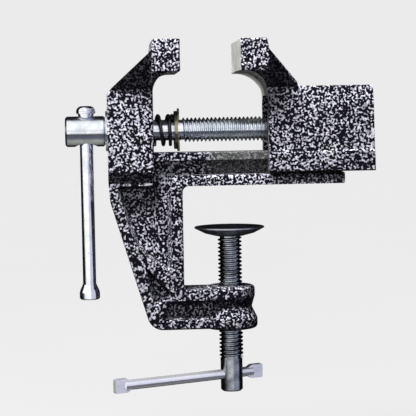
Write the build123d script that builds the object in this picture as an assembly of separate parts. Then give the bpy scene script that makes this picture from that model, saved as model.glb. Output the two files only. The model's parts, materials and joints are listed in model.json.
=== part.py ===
from build123d import *
import os
from math import cos, pi, sin

# Small clamp-on bench vise, millimetres.
# X runs along the lead screw (handle end at -X), Y across the jaws, Z up.
# Z = 0 is the plane that sits on the tabletop, X = Y = 0 the clamp screw's axis.

# ---- jaws ----
jaw_width = 50.0            # across the jaw faces
jaw_top = 70.9
jaw_bottom = 55.4           # lower edge of the bare jaw face
opening = 28.9              # between the faces as shown
casting_round = 1.2         # edge rounding of the castings
edge_break = 0.5            # edges of the bare jaw faces
frame_round = 1.0
clear = 0.02                # keeps crossing outlines from sharing a plane
fixed_face_x = -24.4
fixed_head_back = -37.5
fixed_arc = 9.1             # hollow under the fixed jaw
moving_arc = 12.4           # hollow under the moving jaw
moving_lip = 2.0            # flat under the moving face
moving_head = 13.2          # thickness of the moving head
flare_depth = 8.0           # from the bare face's lower edge to where a neck starts to widen
neck_step = 5.0             # how far the head's lower corner stands out from the neck
neck_drop = 5.3             # from the jaw's top to the neck's top, behind the head

# ---- fixed column ----
body_width = 28.0           # column and slide block
column_left = -59.6
column_back = -37.3
shoulder = 45.2             # outer shoulder of the column
frame_width = 24.0          # clamp frame below the column
frame_top = 1.8
slope_top = 7.3             # top of the slope between column and frame

# ---- slide rail and table flange ----
rail_top = 16.4
rail_bottom = 12.0
rail_width = 19.8
rail_neck = 11.0
flange_width = 25.0
flange_thickness = 5.4
rail_end = 56.4
slide_gap = 0.3             # sliding clearance between block and rail

# ---- slide block of the moving jaw ----
block_length = 52.4
block_top = 48.0
block_bottom = 6.0
block_bevel = 39.6          # lower line of the bevel along the top
block_top_width = 25.6
skirt_top = 16.6
skirt_out = 1.0             # how far the skirt stands out on each side
roof = 4.4
nut_length = 14.0
nut_setback = 7.1           # nut behind the open front of the block
nut_height = 21.0
rib_thickness = 2.0
rib_depth = 2.0

# ---- clamp frame ----
throat_x = -23.6            # inner edge of the frame
throat_bottom = -51.3
arm_bottom = -70.6
foot_x = -40.0              # where the outer edge would meet the bottom edge
knee_z = -7.0
knee_x = -59.0
pocket_depth = 6.0
pocket_draft = 17.0         # degrees
boss_top = -50.4
boss_bottom = -71.6
boss_upper_r = 12.2
boss_waist_r = 10.6
boss_lower_r = 13.4

# ---- lead screw ----
screw_z = 27.4
thread_major = 12.0
thread_pitch = 2.0
thread_depth = 1.12
thread_start = -23.4
screw_end = 58.0
shank_d = 10.2
head_d = 15.0
head_left = -80.2
running = 0.08              # radial clearance of a turning or sliding fit
end_play = 0.12             # axial clearance of the captive screw
thrust_washer_d = 19.6
thrust_washer_t = 0.85
spring_wire = 1.7
spring_outer = 16.0
spring_turns = 2.6
spring_washer_d = 18.8
spring_washer_t = 1.5
pin_wire = 1.1
pin_x = -24.6
pin_reach = 10.7            # from the screw's axis to either end of the pin

# ---- lead screw handle ----
handle_x = -70.0
handle_d = 6.5
handle_low = -55.6
knob_top_wall = 1.45        # how far the knobs stand out round the handle
knob_top_h = 4.9
knob_collar_wall = 0.55     # collar between the top knob and the screw's head
knob_collar_h = 1.1
knob_low_wall = 1.75
knob_low_h = 7.4
knob_socket = 3.0
countersink_rim = 2.45      # under the head, round the handle
countersink_depth = 4.1

# ---- clamp screw, handle and pad ----
pad_top = -21.0
pad_d = 35.0
pad_t = 1.2
pad_dish = 3.4
neck_d = 5.0
button_d = 8.0
button_h = 1.1
clamp_thread_low = -87.0
clamp_head_low = -103.5
clamp_head_d = 11.0
clamp_bar_z = -95.0
clamp_bar_d = 4.9
clamp_bar_angle = 23.0      # degrees about Z, long end to the left and front
clamp_bar_long = 64.0
clamp_bar_short = 17.0
paddle_length = 9.0
paddle_height = 6.8
paddle_thickness = 3.0

# ---- derived ----
half_jaw = jaw_width / 2
half_body = body_width / 2
moving_face_x = fixed_face_x + opening
block_front = moving_face_x + moving_lip + moving_arc
block_back = block_front + block_length
flare_base = jaw_bottom - flare_depth   # where a neck starts to widen
neck_top = jaw_top - neck_drop
channel_half = rail_width / 2 + slide_gap
lip_half = rail_neck / 2 + slide_gap + 0.2
lip_top = rail_bottom - slide_gap
roof_inner = block_top - roof
nut_front = block_front + nut_setback
nut_bottom = screw_z - nut_height / 2
thread_root = thread_major / 2 - thread_depth
knob_top_r = handle_d / 2 + knob_top_wall
spring_washer_right = pin_x - pin_wire / 2
spring_right = spring_washer_right - spring_washer_t
pad_centre_top = pad_top - pad_dish
pad_under = pad_centre_top - pad_t
screw_shoulder = pad_under - end_play


def slab(outline, width):
    """Side outline in (x, z) drawn out to a full width across Y."""
    return extrude(Plane.XZ * outline, amount=width / 2, both=True)


def along_x(outline, x0, x1):
    """Outline in (y, z) drawn out from x0 to x1."""
    return extrude(Plane.YZ.offset(x0) * outline, amount=x1 - x0, dir=(1, 0, 0))


def mirrored(points):
    """Closed outline from the corners of its right half, top to bottom."""
    return make_face(Polyline(*points, *[(-y, z) for y, z in reversed(points)], close=True))


def x_rod(r, x0, x1, z=screw_z):
    """Round bar along X."""
    return Location((x0, 0, z), (0, 90, 0)) * Cylinder(
        r, x1 - x0, align=(Align.CENTER, Align.CENTER, Align.MIN))


def z_rod(r, z0, z1, x=0.0):
    """Round bar along Z."""
    return Location((x, 0, z0)) * Cylinder(
        r, z1 - z0, align=(Align.CENTER, Align.CENTER, Align.MIN))


def ring(r_out, r_in, x0, x1):
    """Washer standing on the lead screw's axis."""
    return x_rod(r_out, x0, x1) - x_rod(r_in, x0 - 1, x1 + 1)


def eased(face, radius, test):
    """Outline with the corners that pass the test rounded."""
    return fillet([v for v in face.vertices() if test(v.X, v.Y)], radius)


def threaded_bar(length):
    """Right-hand thread along +Z from 0, chamfered core ends included."""
    core = Cylinder(thread_root, length, align=(Align.CENTER, Align.CENTER, Align.MIN))
    turns = Helix(thread_pitch, length - 0.9 * thread_pitch, thread_root)
    across = Plane(origin=(thread_root, 0, 0), x_dir=(1, 0, 0), z_dir=(0, -1, 0))
    low, high = 0.43 * thread_pitch, 0.08 * thread_pitch
    tooth = across * make_face(Polyline(
        (-0.15, -low), (thread_depth, -high), (thread_depth, high), (-0.15, low), close=True))
    ridge = sweep(tooth, path=turns, is_frenet=True)
    return core + Location((0, 0, 0.45 * thread_pitch)) * ridge


def hollow_arc(x_wall, radius, side):
    """Quarter circle under a jaw, from its lip to the upright wall."""
    x, z = x_wall + side * radius, jaw_bottom - radius
    mid = radius * sin(pi / 4)
    return ThreePointArc((x, jaw_bottom), (x - side * mid, z + mid), (x_wall, z))


# ---------------------------------------------------------------- castings
def neck_side(outer_x, back_x):
    """What lies outside the near face of a neck, which leans in below and away from the head."""
    foot = Vector(outer_x, -half_body, flare_base)
    top = Vector(back_x, -half_jaw, neck_top)
    low = Vector(back_x, neck_step - half_jaw, jaw_bottom)
    out = (top - foot).cross(low - foot).normalized()
    out = out if out.Y < 0 else -out
    way = 1 if outer_x > back_x else -1
    beyond = Plane(origin=foot, z_dir=out) * Box(
        200, 200, 60, align=(Align.CENTER, Align.CENTER, Align.MIN))
    return beyond & Location((back_x + way * 50, 0, flare_base + 50)) * Box(100, 200, 100)


def jaw_and_neck(side, plan_points, foot):
    """Jaw head and flaring neck: the shape common to three outlines."""
    (outer_x, _), (back_x, _) = plan_points[:2]
    front = mirrored([(half_jaw, jaw_top + clear), (half_jaw, jaw_bottom),
                      (half_body + 0.5 * (half_jaw - half_body), flare_base + 3.4),
                      (half_body, flare_base), (half_body, foot)])
    front = eased(front, casting_round, lambda y, z: z > flare_base + 1)
    plan_points = [(x, y + clear) for x, y in plan_points]
    plan = make_face(Polyline(*plan_points, *[(x, -y) for x, y in reversed(plan_points)],
                              close=True))
    plan = eased(plan, casting_round, lambda x, y: True)
    whole = (slab(side, jaw_width + 10) & along_x(front, -90, 90)
             & extrude(Plane.XY.offset(foot - 1) * plan, amount=jaw_top - foot + 2,
                       dir=(0, 0, 1)))
    near = (whole & Location((0, -50, 0)) * Box(300, 100, 300)) - neck_side(outer_x, back_x)
    return near + mirror(near, Plane.XZ)


def fixed_jaw():
    wall, face = column_back, fixed_face_x
    side = make_face([Polyline(
        (wall, jaw_bottom - fixed_arc), (wall, frame_top), (column_left, frame_top),
        (column_left, shoulder), (column_left + 2.4, shoulder + 3.0),
        (fixed_head_back - 0.4, neck_top), (fixed_head_back + 0.2, jaw_top), (face, jaw_top),
        (face, jaw_bottom), (wall + fixed_arc, jaw_bottom)), hollow_arc(wall, fixed_arc, 1)])
    side = eased(side, casting_round, lambda x, z: z > shoulder - 0.1 and x < face - 1
                 and abs(z - jaw_bottom) > 0.5 and abs(x - wall) > 0.1)
    side = eased(side, edge_break, lambda x, z: x > face - 0.1)
    plan = [(column_left, half_body), (fixed_head_back - 0.4, half_jaw), (face, half_jaw)]
    upper = jaw_and_neck(side, plan, slope_top)
    foot = along_x(mirrored([(half_body, slope_top), (frame_width / 2, frame_top)]),
                   column_left, wall)
    solid = upper + foot
    corners = [e for e in solid.edges() if abs(e.center().X - wall) < 0.01 and e.length > 20
               and abs(abs(e.center().Y) - half_body) < 0.01]
    return solid.fillet(casting_round, corners)


def frame_outline():
    """Side view of the C-shaped clamp frame, corners rounded."""
    face = make_face(Polyline(
        (column_left, frame_top), (knee_x, knee_z),
        (foot_x, arm_bottom), (0, arm_bottom), (0, throat_bottom),
        (throat_x, throat_bottom), (throat_x, 0), (throat_x + 9, 0),
        (throat_x + 9, flange_thickness), (column_left, flange_thickness), close=True))
    for x, z, r in ((foot_x, arm_bottom, 8.0), (throat_x, throat_bottom, 2.0),
                    (throat_x, 0, 3.2), (knee_x, knee_z, 6.0)):
        face = eased(face, r, lambda a, b: abs(a - x) < 0.01 and abs(b - z) < 0.01)
    return face


def pocket(points, radius):
    """Drafted recess cut into the near side of the frame."""
    face = make_face(Polyline(*points, close=True))
    face = fillet(face.vertices(), radius)
    mouth = Plane.XZ.offset(frame_width / 2) * face
    return extrude(mouth, amount=pocket_depth, dir=(0, 1, 0), taper=pocket_draft)


def clamp_frame():
    frame = slab(frame_outline(), frame_width)
    rim = [e for e in frame.edges() if abs(abs(e.center().Y) - frame_width / 2) < 0.01
           and e.center().Z < frame_top - 2 and e.center().X < throat_x + 8.9]
    frame = frame.fillet(frame_round, rim)
    pockets = [
        pocket([(-55.6, 0.6), (-53.5, -7.4), (-50.3, -19.1), (-46.6, -28.6), (-41.4, -34.5),
                (-30.2, -42.6), (-29.3, -38.0), (-29.3, -1.2), (-28.2, 2.8), (-25.6, 5.0),
                (-21.0, 5.6), (-21.0, 10.0), (column_back + 0.5, 10.0),
                (column_back + 0.5, 0.6)], 1.0),
        pocket([(-43.0, -38.2), (-29.6, -52.2), (-31.4, -54.8), (-38.4, -59.6)], 1.0),
        pocket([(-31.6, -56.2), (4.0, -56.2), (4.0, -66.2), (-35.6, -66.2)], 1.4),
    ]
    for cut in pockets:
        frame = frame - cut - mirror(cut, Plane.XZ)
    return frame


def boss():
    points = [(0.0, boss_bottom), (boss_lower_r, boss_bottom), (boss_lower_r, -66.8),
              (boss_waist_r, -61.0), (boss_upper_r, -55.6), (boss_upper_r, boss_top),
              (0.0, boss_top)]
    face = make_face(Polyline(*points, close=True))
    face = fillet([v for v in face.vertices() if v.X > 1], 1.7)
    return revolve(Plane.XZ * face, Axis.Z)


def rail():
    head = mirrored([(rail_width / 2, rail_top), (rail_width / 2, rail_bottom)])
    neck = mirrored([(rail_neck / 2, rail_top - 1), (rail_neck / 2, 1)])
    foot = mirrored([(flange_width / 2, flange_thickness), (flange_width / 2, 0)])
    head = fillet(head.vertices(), 0.7)
    foot = fillet([v for v in foot.vertices() if v.Y > 1], 2.0)
    return (along_x(head, column_back - 1, rail_end) + along_x(neck, column_back - 1, rail_end)
            + along_x(foot, throat_x - 1, rail_end))


def body_casting():
    solid = fixed_jaw() + clamp_frame() + boss() + rail()
    solid -= x_rod(shank_d / 2 + running, column_left - 5, column_back + 5)
    solid -= z_rod(thread_major / 2 + running, boss_bottom - 5, boss_top + 5)
    return solid


def moving_jaw():
    face, wall = moving_face_x, block_front
    back, heel = face + moving_head, wall + 14.6
    side = make_face([Polyline(
        (wall, jaw_bottom - moving_arc), (wall, block_top - 9), (heel, block_top - 9),
        (heel, block_top), (heel - 0.6, block_top + 2.0), (back + 0.6, neck_top),
        (back - 0.4, jaw_top),
        (face, jaw_top), (face, jaw_bottom), (wall - moving_arc, jaw_bottom)),
        hollow_arc(wall, moving_arc, -1)])
    side = eased(side, casting_round, lambda x, z: z > 60 and x > face + 1)
    side = eased(side, edge_break, lambda x, z: x < face + 0.1)
    plan = [(heel, half_body), (back + 0.6, half_jaw), (face, half_jaw)]
    head = jaw_and_neck(side, plan, block_top - 8)
    section = mirrored([(block_top_width / 2, block_top), (half_body, block_bevel),
                        (half_body, skirt_top),
                        (half_body + skirt_out, skirt_top - skirt_out),
                        (half_body + skirt_out, block_bottom)])
    section = eased(section, 0.8, lambda y, z: z > block_bevel or z < skirt_top - 0.5)
    length = make_face(Polyline(
        (wall - 1, block_bottom - 1), (block_back, block_bottom - 1),
        (block_back - 0.5, block_bevel), (block_back - 0.8, block_top + clear),
        (wall - 1, block_top + clear), close=True))
    length = eased(length, 2.0, lambda x, z: x > block_back - 2 and z > block_bevel + 1)
    block = along_x(section, wall, block_back + 1) & slab(length, 60)
    channel = mirrored([(channel_half, roof_inner), (channel_half, lip_top),
                        (lip_half, lip_top), (lip_half, block_bottom - 1)])
    solid = head + block - along_x(channel, wall - 5, block_back + 5)
    for x in (nut_front - rib_thickness, nut_front + nut_length):
        for s in (-1, 1):
            solid += Location((x, s * (channel_half - rib_depth / 2), nut_bottom)) * Box(
                rib_thickness, rib_depth, roof_inner - nut_bottom,
                align=(Align.MIN, Align.CENTER, Align.MIN))
    return solid


def lead_nut():
    nut = Location((nut_front, 0, nut_bottom)) * Box(
        nut_length, 2 * channel_half, nut_height, align=(Align.MIN, Align.CENTER, Align.MIN))
    return nut - x_rod(thread_major / 2 + running, nut_front - 5, nut_front + nut_length + 5)


# ---------------------------------------------------------------- lead screw
def lead_screw():
    head_right = column_left - thrust_washer_t - end_play
    head = x_rod(head_d / 2, head_left, head_right)
    head = chamfer(head.edges().filter_by(GeomType.CIRCLE), 0.9)
    shank = x_rod(shank_d / 2, head_right - 1, thread_start)
    bar = Location((thread_start - 0.5, 0, screw_z), (0, 90, 0)) * threaded_bar(
        screw_end - thread_start + 0.5)
    solid = head + shank + bar
    solid -= z_rod(handle_d / 2 + running, -20, 60, handle_x)
    solid -= Location((handle_x, 0, screw_z - head_d / 2)) * Cone(
        handle_d / 2 + countersink_rim, handle_d / 2, countersink_depth,
        align=(Align.CENTER, Align.CENTER, Align.MIN))
    return solid - z_rod(pin_wire + 0.05, 0, 60, pin_x)


def thrust_washer():
    return ring(thrust_washer_d / 2, shank_d / 2 + running,
                column_left - thrust_washer_t, column_left)


def spring_washer():
    return ring(spring_washer_d / 2, shank_d / 2 + 0.05, spring_right, spring_washer_right)


def lead_spring():
    """Compression spring with closed end coils."""
    left = column_back + end_play + spring_wire / 2
    right = spring_right - spring_wire / 2
    r = (spring_outer - spring_wire) / 2
    first, last, close = 0.25, 1.1, spring_wire + 0.12
    open_pitch = (right - left - close * (first + last)) / (spring_turns - first - last)

    def reach(t):
        return (close * min(t, first) + open_pitch * max(0.0, min(t, spring_turns - last) - first)
                + close * max(0.0, t - (spring_turns - last)))

    steps = int(spring_turns * 12)
    turns = [spring_turns * k / steps for k in range(steps + 1)]
    line = Spline(*[(left + reach(t), r * sin(2 * pi * t), screw_z - r * cos(2 * pi * t))
                    for t in turns])
    return sweep(Plane(origin=line @ 0, z_dir=line % 0) * Circle(spring_wire / 2), path=line)


def split_pin():
    """Split pin through the screw: eye on top, the two legs spread below."""
    r, half, eye = pin_wire / 2, pin_wire / 2 + 0.02, 1.3
    low, crook = r - pin_reach, -shank_d / 2 - 1.0
    eye_z = pin_reach - r - eye
    throat = eye_z - 1.5
    leg = Polyline((half + 2.0, low), (half + 0.6, crook - 1.4), (half, crook), (half, throat))
    side = Spline((half, throat), (eye, eye_z), (0, eye_z + eye),
                  tangents=[(0, 1), (-1, 0)])
    right = fillet(leg.vertices()[1:-1], 1.0)
    right = Wire([*right.edges(), *side.edges()])
    line = Wire([*right.edges(), *mirror(right, Plane.YZ).edges()])
    line = Location((pin_x, 0, screw_z), (0, 0, 90)) * (Plane.XZ * line)
    return sweep(Plane(origin=line @ 0, z_dir=line % 0) * Circle(r), path=line)


def handle_bar():
    return z_rod(handle_d / 2, handle_low + knob_low_h - knob_socket,
                 screw_z + head_d / 2 + 0.1 + knob_socket, handle_x)


def top_knob():
    base = screw_z + head_d / 2 + 0.1
    knob = z_rod(knob_top_r, base + knob_collar_h, base + knob_top_h, handle_x)
    knob = fillet(knob.edges().sort_by(Axis.Z)[-1], 0.72 * (knob_top_h - knob_collar_h))
    knob = chamfer(knob.edges().sort_by(Axis.Z)[0], 0.4)
    knob += z_rod(handle_d / 2 + knob_collar_wall, base, base + knob_collar_h + 0.5, handle_x)
    return knob - z_rod(handle_d / 2, base - 1, base + knob_socket, handle_x)


def low_knob():
    r = handle_d / 2 + knob_low_wall
    profile = make_face(Polyline(
        (0, 0), (r - 0.6, 0), (r, 0.6), (r, knob_low_h - 4.0), (r - 0.5, knob_low_h - 2.4),
        (r - 1.1, knob_low_h - 1.2), (handle_d / 2 + 0.2, knob_low_h), (0, knob_low_h),
        close=True))
    knob = Location((handle_x, 0, handle_low)) * revolve(Plane.XZ * profile, Axis.Z)
    return knob - z_rod(handle_d / 2, handle_low + knob_low_h - knob_socket, 0, handle_x)


# ---------------------------------------------------------------- clamp screw
def clamp_screw():
    head = z_rod(clamp_head_d / 2, clamp_head_low, clamp_thread_low)
    head = chamfer(head.edges().filter_by(GeomType.CIRCLE).sort_by(Axis.Z)[0], 0.8)
    bar = Location((0, 0, clamp_thread_low - 0.5)) * threaded_bar(
        screw_shoulder - clamp_thread_low + 0.5)
    neck = z_rod(neck_d / 2, screw_shoulder - 1, pad_centre_top + end_play + 0.2)
    button = z_rod(button_d / 2, pad_centre_top + end_play, pad_centre_top + end_play + button_h)
    button = chamfer(button.edges().sort_by(Axis.Z)[-1], 0.6)
    hole = Location((0, 0, clamp_bar_z), (0, 0, clamp_bar_angle)) * Rot(0, 90, 0) * Cylinder(
        clamp_bar_d / 2 + running, 40)
    return head + bar + neck + button - hole


def clamp_pad():
    """Dished disc that turns on the screw's riveted tip."""
    r, hole = pad_d / 2, neck_d / 2 + running
    upper = [(hole, pad_centre_top), (button_d / 2 + 2.5, pad_centre_top),
             (r - 5.5, pad_centre_top + 0.42 * pad_dish), (r - 1.4, pad_top), (r - 0.3, pad_top)]
    lower = [(r, pad_top - 0.6), (r - 5.0, pad_centre_top + 0.42 * pad_dish - pad_t),
             (button_d / 2 + 3.0, pad_under), (hole, pad_under)]
    return revolve(Plane.XZ * make_face(Polyline(*upper, *lower, close=True)), Axis.Z)


def clamp_bar():
    """Round bar with both ends hammered flat."""
    lower, upper = -clamp_bar_long, clamp_bar_short
    rod = Location((lower + paddle_length * 0.6, 0, 0), (0, 90, 0)) * Cylinder(
        clamp_bar_d / 2, upper - lower - paddle_length * 1.2,
        align=(Align.CENTER, Align.CENTER, Align.MIN))
    for end, way in ((lower, 1), (upper, -1)):
        x0, x1 = end, end + way * paddle_length
        flat = make_face(Polyline(
            (x0, -paddle_height / 2), (x0, paddle_height / 2),
            (x0 + way * 6.2, paddle_height / 2), (x1, clamp_bar_d * 0.36),
            (x1, -clamp_bar_d * 0.36), (x0 + way * 6.2, -paddle_height / 2), close=True))
        flat = fillet(flat.vertices(), 0.6)
        rod += extrude(Plane.XZ * flat, amount=paddle_thickness / 2, both=True)
    return Location((0, 0, clamp_bar_z), (0, 0, clamp_bar_angle)) * rod


nodes = {
    "body_casting": body_casting,
    "moving_jaw": moving_jaw,
    "lead_nut": lead_nut,
    "lead_screw": lead_screw,
    "thrust_washer": thrust_washer,
    "lead_spring": lead_spring,
    "spring_washer": spring_washer,
    "split_pin": split_pin,
    "handle_bar": handle_bar,
    "handle_top_knob": top_knob,
    "handle_low_knob": low_knob,
    "clamp_screw": clamp_screw,
    "clamp_pad": clamp_pad,
    "clamp_bar": clamp_bar,
}

os.makedirs("parts", exist_ok=True)
for name, make in nodes.items():
    export_step(make(), f"parts/{name}.step")
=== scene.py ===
"""Clamp-on bench vise: finishes, spring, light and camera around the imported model."""

import json
import math

import bpy
from mathutils import Matrix, Vector


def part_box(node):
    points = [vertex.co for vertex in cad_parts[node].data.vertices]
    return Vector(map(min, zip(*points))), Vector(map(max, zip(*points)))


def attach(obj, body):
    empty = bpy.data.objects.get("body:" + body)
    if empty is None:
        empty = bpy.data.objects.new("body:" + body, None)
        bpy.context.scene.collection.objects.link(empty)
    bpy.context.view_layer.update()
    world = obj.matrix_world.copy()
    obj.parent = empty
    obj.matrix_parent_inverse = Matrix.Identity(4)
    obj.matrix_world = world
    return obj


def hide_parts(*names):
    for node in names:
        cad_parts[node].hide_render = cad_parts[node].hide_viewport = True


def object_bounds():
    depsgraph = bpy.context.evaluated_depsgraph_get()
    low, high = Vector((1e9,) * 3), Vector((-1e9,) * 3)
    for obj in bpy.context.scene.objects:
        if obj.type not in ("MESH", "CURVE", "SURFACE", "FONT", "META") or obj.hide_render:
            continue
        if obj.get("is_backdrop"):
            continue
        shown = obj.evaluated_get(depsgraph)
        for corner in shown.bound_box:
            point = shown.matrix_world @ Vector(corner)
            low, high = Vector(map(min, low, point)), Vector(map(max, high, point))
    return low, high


MM = 0.001
GENERATED, NORMAL, OBJECT = 0, 1, 3     # outputs of a Texture Coordinate node
CAMERA_RAY, DIFFUSE_RAY = 0, 2          # outputs of a Light Path node

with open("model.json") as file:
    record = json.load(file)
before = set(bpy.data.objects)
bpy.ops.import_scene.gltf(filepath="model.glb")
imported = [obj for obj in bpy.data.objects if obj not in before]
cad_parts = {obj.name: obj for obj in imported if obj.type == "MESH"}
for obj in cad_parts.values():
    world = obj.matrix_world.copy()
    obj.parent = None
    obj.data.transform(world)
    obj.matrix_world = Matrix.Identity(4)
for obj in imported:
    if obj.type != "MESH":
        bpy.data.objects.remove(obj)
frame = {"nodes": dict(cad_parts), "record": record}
cad_low, cad_high = (list(v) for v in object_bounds())
nodes = frame["nodes"]
mounts = {m["name"]: m for m in frame["record"]["mounts"]}


# ---- node trees ----
class Value:
    """A socket that adds Math nodes when it is used in an expression."""

    def __init__(self, tree, socket):
        self.tree, self.socket = tree, socket

    def math(self, operation, *others, **settings):
        return self.tree.node("ShaderNodeMath", {"operation": operation, **settings},
                              {0: self, **{k + 1: v for k, v in enumerate(others)}})[0]

    def __add__(self, other):
        return self.math("ADD", other)

    __radd__ = __add__

    def __mul__(self, other):
        return self.math("MULTIPLY", other)

    __rmul__ = __mul__

    def __sub__(self, other):
        return self.math("SUBTRACT", other)

    def __rsub__(self, other):
        return self.math("MULTIPLY", -1.0).math("ADD", other)

    def __truediv__(self, other):
        return self.math("DIVIDE", other)

    def __neg__(self):
        return self.math("MULTIPLY", -1.0)

    def over(self, low, high):
        """0 below low, 1 above high, smooth between."""
        return self.tree.node("ShaderNodeMapRange", {"interpolation_type": "SMOOTHSTEP"},
                              {"Value": self, "From Min": low, "From Max": high})[0]

    def within(self, low, high, soft):
        """1 between low and high, fading over the soft distance."""
        return self.over(low - soft, low) * (1 - self.over(high, high + soft))

    def sine(self):
        return self.math("SINE")

    def cosine(self):
        return self.math("COSINE")


class Tree:
    """A shader or geometry node tree being built."""

    def __init__(self, tree):
        self.tree = tree

    def node(self, kind, settings=None, inputs=None):
        """Adds a node and returns its outputs as Values."""
        made = self.tree.nodes.new(kind)
        for name, value in (settings or {}).items():
            setattr(made, name, value)
        for name, value in (inputs or {}).items():
            if isinstance(value, Value):
                self.tree.links.new(value.socket, made.inputs[name])
            elif value is not None:
                made.inputs[name].default_value = value
        return [Value(self, out) for out in made.outputs if out.enabled]

    def mix(self, factor, first, second):
        """Colour between first and second."""
        def colour(c):
            return c if isinstance(c, Value) else (*c, 1.0)

        made = self.tree.nodes.new("ShaderNodeMix")
        made.data_type = "RGBA"
        for key, value in ((0, factor), (6, colour(first)), (7, colour(second))):
            if isinstance(value, Value):
                self.tree.links.new(value.socket, made.inputs[key])
            else:
                made.inputs[key].default_value = value
        return Value(self, made.outputs[2])

    def place(self):
        """Object coordinates as a vector and as x, y, z."""
        where = self.node("ShaderNodeTexCoord")[OBJECT]
        return where, self.node("ShaderNodeSeparateXYZ", {}, {0: where})

    def facing_down(self):
        """Downward part of the surface's own direction, 1 where it faces straight down."""
        facing = self.node("ShaderNodeTexCoord")[NORMAL]
        return -self.node("ShaderNodeSeparateXYZ", {}, {0: facing})[2]

    def noise(self, where, size, detail=1.0, roughness=0.5, warp=0.0):
        """Noise whose features are about size metres across."""
        return self.node("ShaderNodeTexNoise", {}, {
            "Vector": where, "Scale": 1.0 / size, "Detail": detail, "Roughness": roughness,
            "Distortion": warp})[0]

    def stretched(self, where, scale):
        return self.node("ShaderNodeVectorMath", {"operation": "MULTIPLY"},
                         {0: where, 1: scale})[0]

    def bump(self, height, depth, strength=1.0, normal=None):
        return self.node("ShaderNodeBump", {}, {"Strength": strength, "Distance": depth,
                                                "Height": height, "Normal": normal})[0]


def finish(name, build, **constants):
    """Material whose varying sockets come from build(tree); constants sit on the shader."""
    material = bpy.data.materials.new(name)
    material.use_nodes = True
    material.node_tree.nodes.clear()
    tree = Tree(material.node_tree)
    sockets = {k.replace("_", " "): v for k, v in constants.items()}
    sockets.update(build(tree))
    shader = tree.node("ShaderNodeBsdfPrincipled", {}, sockets)[0]
    tree.node("ShaderNodeOutputMaterial", {}, {"Surface": shader})
    return material


# ---- finishes ----
VEIN = 1.05 * MM            # lattice of the hammertone veins
PATCH = 6 * MM              # size of the areas with more or fewer veins
GLINT = 1.3 * MM            # size of the brighter and duller flakes
GRIT = 0.45 * MM            # grain of the rubbed rail
JET = (0.0030, 0.0030, 0.0060)
SILVER = (0.86, 0.85, 0.95)
DULL_SILVER = (0.36, 0.355, 0.43)
FRAME_LOW, FRAME_HIGH = -14 * MM, 6 * MM    # veins thin out from the rail to the frame
ARM_LOW, ARM_HIGH = -75 * MM, -55 * MM      # and again down to the screw's arm
RAIL_LOW, RAIL_HIGH = 5.6 * MM, 17.0 * MM
RAIL_HALF = 10.2 * MM       # half the rail's width, with room for its play
RUBBED_FROM = -10.0 * MM    # the rail is rubbed grey where the block slides
RUBBED_FADE = 5 * MM
RUBBED_DARK, RUBBED_LIGHT = (0.03, 0.03, 0.03), (0.26, 0.27, 0.25)
VEIN_RELIEF = 0.10 * MM


def hammertone(tree):
    where, (x, y, z) = tree.place()
    veins = tree.noise(where, VEIN, detail=0.6, roughness=0.4, warp=0.25)
    patches = tree.noise(where, PATCH, detail=2.0)
    thin = (0.016 * (1 - z.over(FRAME_LOW, FRAME_HIGH))
            + 0.014 * (1 - z.over(ARM_LOW, ARM_HIGH)))
    cover = veins + 0.14 * (patches - 0.5) - thin
    silver = cover.over(0.526, 0.568)
    fine = tree.noise(where, GRIT, detail=2.0)
    rubbed = (x.over(RUBBED_FROM - RUBBED_FADE, RUBBED_FROM + RUBBED_FADE)
              * z.within(RAIL_LOW, RAIL_HIGH, 0.4 * MM)
              * (1 - y.math("ABSOLUTE").over(RAIL_HALF, RAIL_HALF + 0.4 * MM)))
    glint = tree.noise(where, GLINT, detail=1.0)
    flake = tree.mix(glint.over(0.38, 0.60), DULL_SILVER, SILVER)
    # Painted shade: the silver veins are dimmed by up to three quarters on faces that turn
    # downward, standing in for the shade under the castings.
    painted_underside_shade = tree.facing_down().over(0.05, 0.35)
    paint = tree.mix(silver * (1 - 0.75 * painted_underside_shade), JET, flake)
    worn = tree.mix(fine.over(0.42, 0.62), RUBBED_DARK, RUBBED_LIGHT)
    return {
        "Base Color": tree.mix(rubbed * 0.75, paint, worn),
        "Metallic": 0.12 * silver,
        "Roughness": 0.55 - 0.2 * silver,
        "Normal": tree.bump(silver, VEIN_RELIEF, 0.5),
    }


def bare_casting(tree):
    where, (x, y, z) = tree.place()
    ground = tree.noise(tree.stretched(where, (1.0, 0.12, 1.0)), 0.5 * MM, detail=3.0)
    cloud = tree.noise(where, 6 * MM, detail=3.0)
    tone = tree.mix(cloud.over(0.35, 0.7), (0.66, 0.65, 0.61), (0.84, 0.83, 0.79))
    return {
        "Base Color": tree.mix(ground.over(0.40, 0.75) * 0.5, tone, (0.46, 0.46, 0.43)),
        "Roughness": 0.55 + 0.2 * ground,
        "Metallic": 0.15 + 0.2 * cloud,
        "Normal": tree.bump(ground, 0.03 * MM, 0.6),
    }


def plated(light, dark, rough, grain):
    """Plated steel with faint turning marks around the piece's own length."""
    def build(tree):
        where, _ = tree.place()
        marks = tree.noise(tree.stretched(where, grain), 0.35 * MM, detail=2.0)
        cloud = tree.noise(where, 5 * MM, detail=3.0)
        spots = tree.noise(where, 1.2 * MM, detail=3.0).over(0.62, 0.75)
        tone = tree.mix(cloud.over(0.35, 0.7), light, dark)
        return {
            "Base Color": tree.mix(spots * 0.35, tone, tuple(0.45 * c for c in dark)),
            "Roughness": rough + 0.10 * cloud + 0.12 * spots,
            "Normal": tree.bump(marks, 0.012 * MM, 0.5),
        }
    return build


def black_wire(tree):
    where, _ = tree.place()
    cloud = tree.noise(where, 2 * MM, detail=3.0)
    return {"Base Color": tree.mix(cloud, (0.006, 0.006, 0.008), (0.03, 0.03, 0.035)),
            "Roughness": 0.24 + 0.2 * cloud,
            "Normal": tree.bump(cloud, 0.02 * MM, 0.4)}


def cast_dark(tree):
    where, _ = tree.place()
    grain = tree.noise(where, 0.8 * MM, detail=4.0)
    return {"Base Color": tree.mix(grain, (0.015, 0.015, 0.017), (0.09, 0.09, 0.10)),
            "Roughness": 0.55 + 0.25 * grain,
            "Normal": tree.bump(grain, 0.10 * MM, 0.5)}


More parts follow.
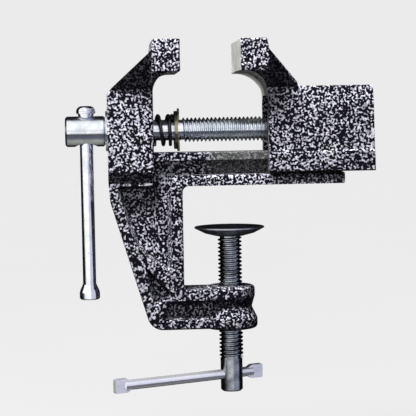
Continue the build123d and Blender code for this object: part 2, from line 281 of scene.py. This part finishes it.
paint = finish("hammertone paint", hammertone, Specular_IOR_Level=0.12)
bare = finish("bare ground casting", bare_casting)
zinc = finish("bright zinc", plated((0.80, 0.82, 0.86), (0.62, 0.66, 0.72), 0.16,
                                    (3.0, 0.3, 0.3)), Metallic=1.0)
# Painted shade: a darker copy of the bright zinc for the clamp screw, standing in for the shade it
# sits in.
zinc_painted_shade = finish("bright zinc, painted shade", plated((0.40, 0.42, 0.46), (0.16, 0.17, 0.19),
                                                     0.16, (0.3, 0.3, 3.0)), Metallic=1.0)
chrome = finish("bright bar", plated((0.84, 0.85, 0.90), (0.70, 0.72, 0.80), 0.09,
                                     (0.5, 0.5, 2.0)), Metallic=1.0)
# Painted light: a brighter, partly diffuse copy of the bright bar finish for the clamp bar,
# standing in for the light it catches.
chrome_painted_light = finish("bright bar, painted light", plated((0.95, 0.95, 0.97), (0.88, 0.89, 0.93), 0.15,
                                                  (0.5, 0.5, 0.5)), Metallic=0.7)
yellow = finish("yellow zinc", plated((0.36, 0.33, 0.20), (0.16, 0.145, 0.09), 0.26,
                                      (1.0, 1.0, 1.0)), Metallic=1.0)
dull = finish("dull sheet steel", plated((0.42, 0.43, 0.46), (0.28, 0.29, 0.31), 0.3,
                                         (1.0, 1.0, 1.0)), Metallic=1.0)
wire = finish("black spring wire", black_wire, Metallic=0.4, Coat_Weight=0.7,
              Coat_Roughness=0.12)
iron = finish("dark cast iron", cast_dark, Metallic=0.4)

for name, material in {
        "body_casting": paint, "moving_jaw": paint, "lead_nut": iron, "lead_screw": zinc,
        "thrust_washer": zinc, "lead_spring": wire, "spring_washer": yellow,
        "split_pin": yellow, "handle_bar": chrome, "handle_top_knob": chrome,
        "handle_low_knob": chrome, "clamp_screw": zinc_painted_shade, "clamp_pad": dull,
        "clamp_bar": chrome_painted_light}.items():
    nodes[name].data.materials.clear()
    nodes[name].data.materials.append(material)


# ---- bare jaw faces and the ground hollows under them ----
FACE_HEIGHT = 17 * MM
HOLLOW_DEPTH = 15 * MM
HOLLOW_TOP, HOLLOW_BOTTOM = 15 * MM, 29 * MM    # below the top of the jaws


def bare_faces(name, face_x, way):
    """Gives the jaw face and the round hollow below it the bare finish."""
    mesh = nodes[name].data
    mesh.materials.append(bare)
    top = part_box("body_casting")[1].z
    for face in mesh.polygons:
        x, z = face.center.x, face.center.z
        behind = (face_x - x) * way
        on_face = abs(behind) < 0.1 * MM and z > top - FACE_HEIGHT
        hollow = (0 < behind < HOLLOW_DEPTH and top - HOLLOW_BOTTOM < z < top - HOLLOW_TOP
                  and abs(face.normal.y) < 0.1 and face.normal.x * way > -0.05
                  and face.normal.z < 0.1)
        if on_face or hollow:
            face.material_index = 1


bare_faces("body_casting", mounts["fixed_jaw_face"]["pos_m"][0], 1)
bare_faces("moving_jaw", mounts["moving_jaw_face"]["pos_m"][0], -1)


# ---- compression spring ----
SPRING_WIRE = 1.7 * MM
TURNS, FIRST_CLOSED, LAST_CLOSED = 2.6, 0.25, 1.1
POINTS_PER_TURN = 48


def coil_tree():
    """Geometry nodes: round wire along a helix whose end turns lie close together."""
    group = bpy.data.node_groups.new("compression spring", "GeometryNodeTree")
    for name in ("Left", "Right", "Radius", "Axis Height", "Wire", "Turns", "First", "Last"):
        group.interface.new_socket(name, in_out="INPUT", socket_type="NodeSocketFloat")
    group.interface.new_socket("Finish", in_out="INPUT", socket_type="NodeSocketMaterial")
    group.interface.new_socket("Geometry", in_out="OUTPUT", socket_type="NodeSocketGeometry")
    tree = Tree(group)
    left, right, radius, height, wire, turns, first, last, look = tree.node("NodeGroupInput")[:9]
    steps = round(TURNS * POINTS_PER_TURN)
    turn = tree.node("GeometryNodeInputIndex")[0] * (1.0 / steps) * turns
    close = wire * 1.06
    open_pitch = (right - left - close * (first + last)) / (turns - first - last)
    opened = (turn.math("MINIMUM", turns - last) - first).math("MAXIMUM", 0.0)
    along = (left + close * turn.math("MINIMUM", first) + open_pitch * opened
             + close * (turn - (turns - last)).math("MAXIMUM", 0.0))
    angle = turn * (2 * math.pi)
    place = tree.node("ShaderNodeCombineXYZ", {}, {
        0: along, 1: radius * angle.sine(), 2: height - radius * angle.cosine()})[0]
    line = tree.node("GeometryNodeMeshLine", {}, {"Count": steps + 1})[0]
    line = tree.node("GeometryNodeSetPosition", {}, {"Geometry": line, "Position": place})[0]
    path = tree.node("GeometryNodeMeshToCurve", {}, {"Mesh": line})[0]
    section = tree.node("GeometryNodeCurvePrimitiveCircle", {}, {
        "Resolution": 20, "Radius": wire * 0.5})[0]
    coil = tree.node("GeometryNodeCurveToMesh", {}, {
        "Curve": path, "Profile Curve": section, "Fill Caps": True})[0]
    coil = tree.node("GeometryNodeRealizeInstances", {}, {"Geometry": coil})[0]
    coil = tree.node("GeometryNodeSetMaterial", {}, {"Geometry": coil, "Material": look})[0]
    tree.node("NodeGroupOutput", {}, {"Geometry": coil})
    return group


def grown(name, group, values):
    """Plain mesh object made by a geometry node group from named inputs."""
    seed = bpy.data.objects.new(name, bpy.data.meshes.new(name))
    bpy.context.scene.collection.objects.link(seed)
    modifier = seed.modifiers.new("grow", "NODES")
    modifier.node_group = group
    for item in group.interface.items_tree:
        if item.in_out == "INPUT":
            modifier[item.identifier] = values[item.name]
    shape = bpy.data.meshes.new_from_object(
        seed.evaluated_get(bpy.context.evaluated_depsgraph_get()))
    seed.modifiers.remove(modifier)
    seed.data = shape
    for face in shape.polygons:
        face.use_smooth = True
    return seed


low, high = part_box("lead_spring")
spring = grown("spring_coil", coil_tree(), {
    "Left": low.x + SPRING_WIRE / 2, "Right": high.x - SPRING_WIRE / 2,
    "Radius": (high.z - low.z - SPRING_WIRE) / 2, "Axis Height": (low.z + high.z) / 2,
    "Wire": SPRING_WIRE, "Turns": TURNS, "First": FIRST_CLOSED, "Last": LAST_CLOSED,
    "Finish": wire})
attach(spring, "lead_screw")
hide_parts("lead_spring")


# ---- stage ----
FLOOR_Z = cad_low[2] - 32 * MM
FLOOR_SIZE = 12.0
BACKDROP = 0.83             # brightness of the studio behind the vise


def stage_plane(name, size, centre, turn, material):
    half = size / 2
    mesh = bpy.data.meshes.new(name)
    mesh.from_pydata([(-half, -half, 0), (half, -half, 0), (half, half, 0), (-half, half, 0)],
                     [], [(0, 1, 2, 3)])
    mesh.transform(Matrix.Translation(centre) @ turn)
    mesh.materials.append(material)
    plane = bpy.data.objects.new(name, mesh)
    bpy.context.scene.collection.objects.link(plane)
    plane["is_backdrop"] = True
    return plane


def pale_floor(tree):
    where, _ = tree.place()
    cloud = tree.noise(where, 0.2, detail=1.0)
    tone = tree.mix(cloud, (0.820, 0.820, 0.820), (0.836, 0.836, 0.836))
    return {"Base Color": tree.mix(cloud, (0.02, 0.02, 0.02), (0.03, 0.03, 0.03)),
            "Emission Color": tone}


floor = stage_plane("floor", FLOOR_SIZE, Vector((0, 0, FLOOR_Z)), Matrix.Identity(4),
                    finish("pale floor", pale_floor, Roughness=1.0, Specular_IOR_Level=0.0,
                           Emission_Strength=1.0))
floor.visible_diffuse = floor.visible_glossy = False

world = bpy.data.worlds.new("studio")
world.use_nodes = True
world.node_tree.nodes.clear()
sky = Tree(world.node_tree)
towards = sky.node("ShaderNodeTexCoord")[GENERATED]
sx, sy, sz = sky.node("ShaderNodeSeparateXYZ", {}, {0: towards})


def side_of(turn, tilt, low, high):
    """1 on the side of the studio that faces turn and tilt, in degrees; the front is 0, 0."""
    turn, tilt = math.radians(turn), math.radians(tilt)
    facing = (sx * (math.sin(turn) * math.cos(tilt)) - sy * (math.cos(turn) * math.cos(tilt))
              + sz * math.sin(tilt))
    return facing.over(low, high)


wide_box = (side_of(-72, 0, -0.02, 0.05) * side_of(-6, 0, -0.25, 0.02)
            * side_of(0, 73, -0.01, 0.03) * side_of(0, 12, -0.08, 0.08))
seam = 1 - 0.8 * sz.within(0.09, 0.13, 0.02)
side_wall = (1 - side_of(-72, 0, -0.05, 0.05)) * side_of(-10, 0, -0.02, 0.12) * sz.over(-0.3, -0.2)
floor_near = (1 - sz.over(-0.52, -0.44)) * side_of(0, 0, -0.4, 0.2)
ground = 1 - sz.over(-0.93, -0.80)
mirrored = 0.010 + 1.25 * wide_box * seam + 0.85 * side_wall + 0.16 * floor_near + 0.24 * ground
tint = sky.mix(ground, sky.mix(wide_box, (0.78, 0.80, 1.0), (1.0, 1.0, 1.0)), (0.97, 1.0, 0.88))
ambient = 0.004 + 0.10 * side_of(-20, 70, 0.1, 0.9)
rays = sky.node("ShaderNodeLightPath")
seen, soft = rays[CAMERA_RAY], rays[DIFFUSE_RAY]
tint = sky.mix(seen, tint, (1.0, 1.0, 1.0))
lit = seen * BACKDROP + (1 - seen) * (soft * ambient + (1 - soft) * mirrored)
glow = sky.node("ShaderNodeBackground", {}, {"Color": tint, "Strength": lit})[0]
sky.node("ShaderNodeOutputWorld", {}, {"Surface": glow})
bpy.context.scene.world = world


def softbox(name, size, stand, aim, watts):
    """Square studio light that lights the finishes without being mirrored in them."""
    light = bpy.data.lights.new(name, "AREA")
    light.size, light.energy = size, watts
    lamp = bpy.data.objects.new(name, light)
    turn = (Vector(aim) - Vector(stand)).to_track_quat("-Z", "Y")
    lamp.matrix_world = Matrix.Translation(stand) @ turn.to_matrix().to_4x4()
    lamp.visible_glossy = False
    bpy.context.scene.collection.objects.link(lamp)
    return lamp


BOX_SIZE = 0.16
softbox("key", BOX_SIZE, stand=(-0.14, -0.19, 0.47), aim=(-0.01, 0.0, 0.0), watts=6.2)
softbox("side fill", BOX_SIZE, stand=(-0.55, 0.08, -0.02), aim=(0.0, 0.0, 0.05), watts=2.4)

# ---- camera ----
SENSOR, FOCAL_LENGTH = 36.0, 117.1
STAND = Vector((-60.8, -670.0, 32.5)) * MM
YAW, PITCH, ROLL = (math.radians(a) for a in (-4.295, -3.76, -1.0))

lens = bpy.data.cameras.new("camera")
lens.sensor_width, lens.lens = SENSOR, FOCAL_LENGTH
camera = bpy.data.objects.new("camera", lens)
camera.matrix_world = (Matrix.Translation(STAND) @ Matrix.Rotation(YAW, 4, "Z")
                       @ Matrix.Rotation(math.pi / 2 + PITCH, 4, "X")
                       @ Matrix.Rotation(ROLL, 4, "Z"))
bpy.context.scene.collection.objects.link(camera)
bpy.context.scene.camera = camera
bpy.context.scene.view_settings.view_transform = "Standard"
